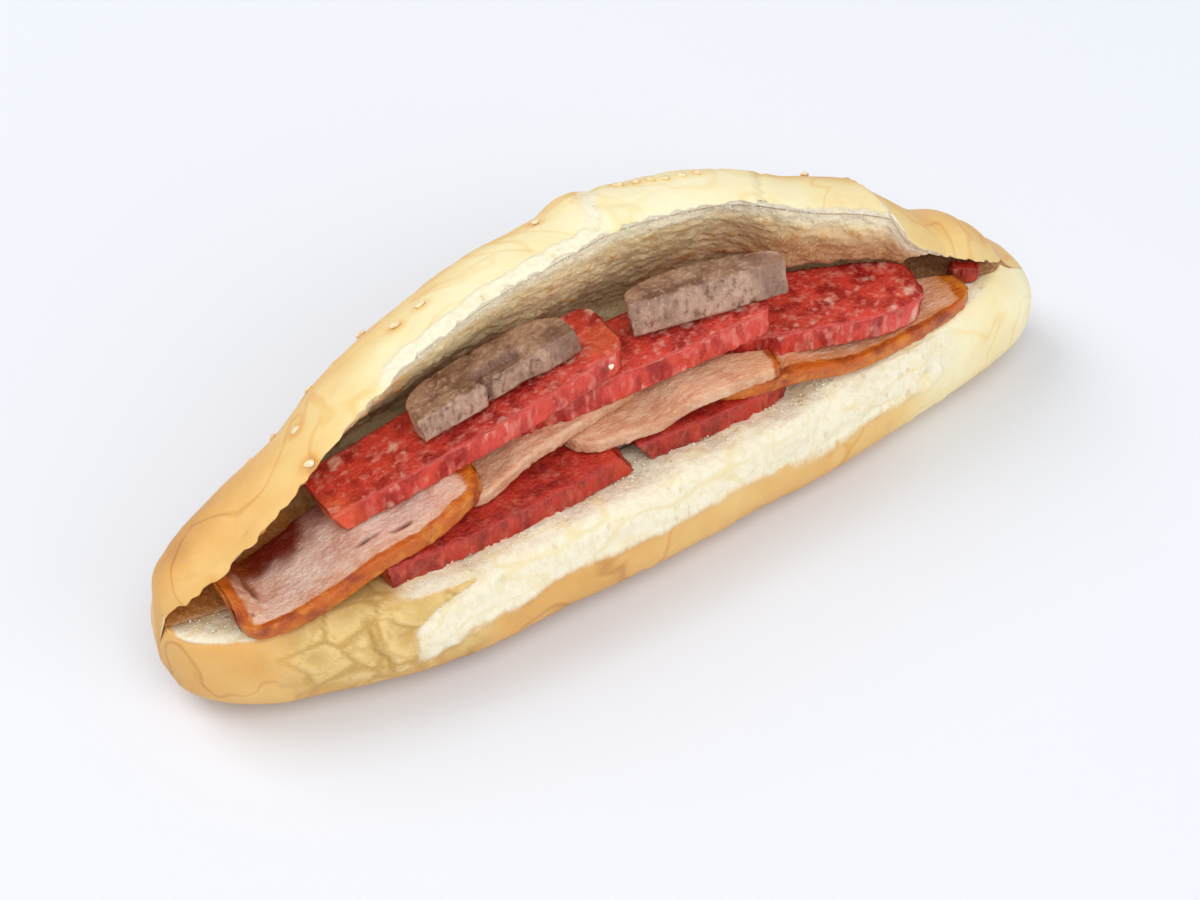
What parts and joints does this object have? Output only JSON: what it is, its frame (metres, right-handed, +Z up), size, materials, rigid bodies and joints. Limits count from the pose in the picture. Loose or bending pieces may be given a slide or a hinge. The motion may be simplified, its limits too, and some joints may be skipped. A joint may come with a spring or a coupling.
{
  "type": "filled sandwich roll",
  "caption": "Long soft white roll, slit along its front and arched open over thick slices of salami, smoked ham and grey boiled meat, with sesame seeds on its crown.",
  "frame": {"origin": "centre of the opened roll's box, on the surface that it stands on", "axes": "+X along the roll, to the right as seen from the mouth; -Y out of the mouth; +Z up"},
  "size_m": [0.2512, 0.0734, 0.086],
  "materials": {
    "bread": "soft matt golden crust with a cream crumb",
    "salami": "moist, flecked with fat",
    "ham": "moist, with an orange-brown rind",
    "grey_meat": "moist and fibrous"
  },
  "bodies": {
    "root": {"bread_roll": "bread", "salami_front_left": "salami", "salami_front_right": "salami", "salami_far_end": "salami", "salami_left": "salami", "salami_centre": "salami", "salami_right": "salami", "ham_left": "ham", "ham_middle": "ham", "ham_centre": "ham", "ham_right": "ham", "grey_meat_left": "grey_meat", "grey_meat_right": "grey_meat"}
  },
  "joints": []
}
